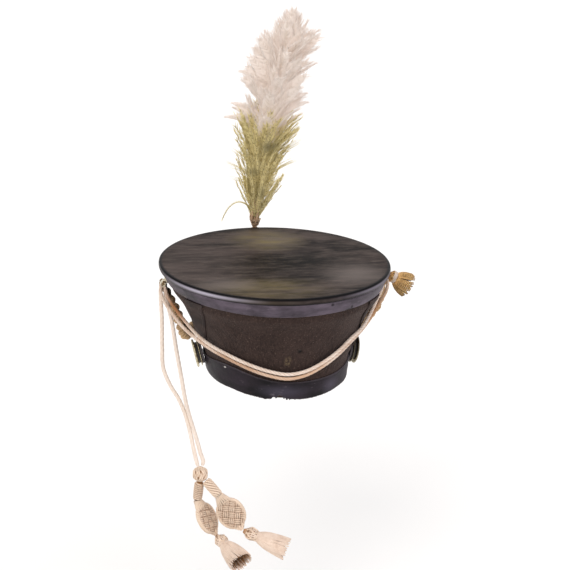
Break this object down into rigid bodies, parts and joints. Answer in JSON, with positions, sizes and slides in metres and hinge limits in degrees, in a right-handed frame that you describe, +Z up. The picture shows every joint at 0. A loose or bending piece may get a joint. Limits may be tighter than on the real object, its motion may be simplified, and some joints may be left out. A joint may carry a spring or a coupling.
{
  "type": "bell-topped felt shako with plume and cap lines",
  "caption": "Bell-topped felt shako with a leather top, bands and peak, side bosses, a feather plume, swagged cords and hanging cap lines that end in woven flounders and tassels.",
  "frame": {"origin": "centre of the head opening, in the plane of the crown's lower rim", "axes": "+Z up through the crown, +Y to the front (peak and plume), +X to the wearer's right"},
  "size_m": [0.3092, 0.3234, 0.6105],
  "materials": {
    "black_felt": "pressed wool felt, brushed and dull",
    "crown_leather": "waxed black leather, worn and streaked",
    "band_leather": "smooth black leather with a soft sheen",
    "strap_leather": "smooth black leather with a soft sheen",
    "peak_leather": "waxed black leather",
    "old_brass": "aged, brightest on the rim",
    "socket_brass": "aged",
    "hook_brass": "aged",
    "quill": "thread-wound quills",
    "green_feather": "spiky cock feathers",
    "white_feather": "soft feathers",
    "cream_cord": "twisted cotton cord",
    "line_cord": "braided cotton cord",
    "gold_plait": "plaited cords, darkened",
    "knot_cord": "woven cotton cord",
    "tassel_cord": "smooth threads",
    "tuft_gold": "twisted threads"
  },
  "bodies": {
    "root": {"crown_body": "black_felt", "crown_top": "crown_leather", "top_band": "band_leather", "base_band": "band_leather", "strap_left": "strap_leather", "strap_right": "strap_leather", "boss_left": "old_brass", "boss_right": "old_brass", "peak": "peak_leather", "plume_socket": "socket_brass", "plume_stem": "quill", "plume_green": "green_feather", "plume_white": "white_feather", "hook_left": "hook_brass", "hook_right": "hook_brass", "cord_back_upper": "cream_cord", "cord_back_lower": "cream_cord", "plait_front": "gold_plait", "line_left": "line_cord", "line_right": "line_cord", "slide_knot": "knot_cord", "collar_left": "knot_cord", "flounder_left": "knot_cord", "tassel_left": "tassel_cord", "collar_right": "knot_cord", "flounder_right": "knot_cord", "tassel_right": "tassel_cord", "tuft_right": "tuft_gold"}
  },
  "joints": []
}
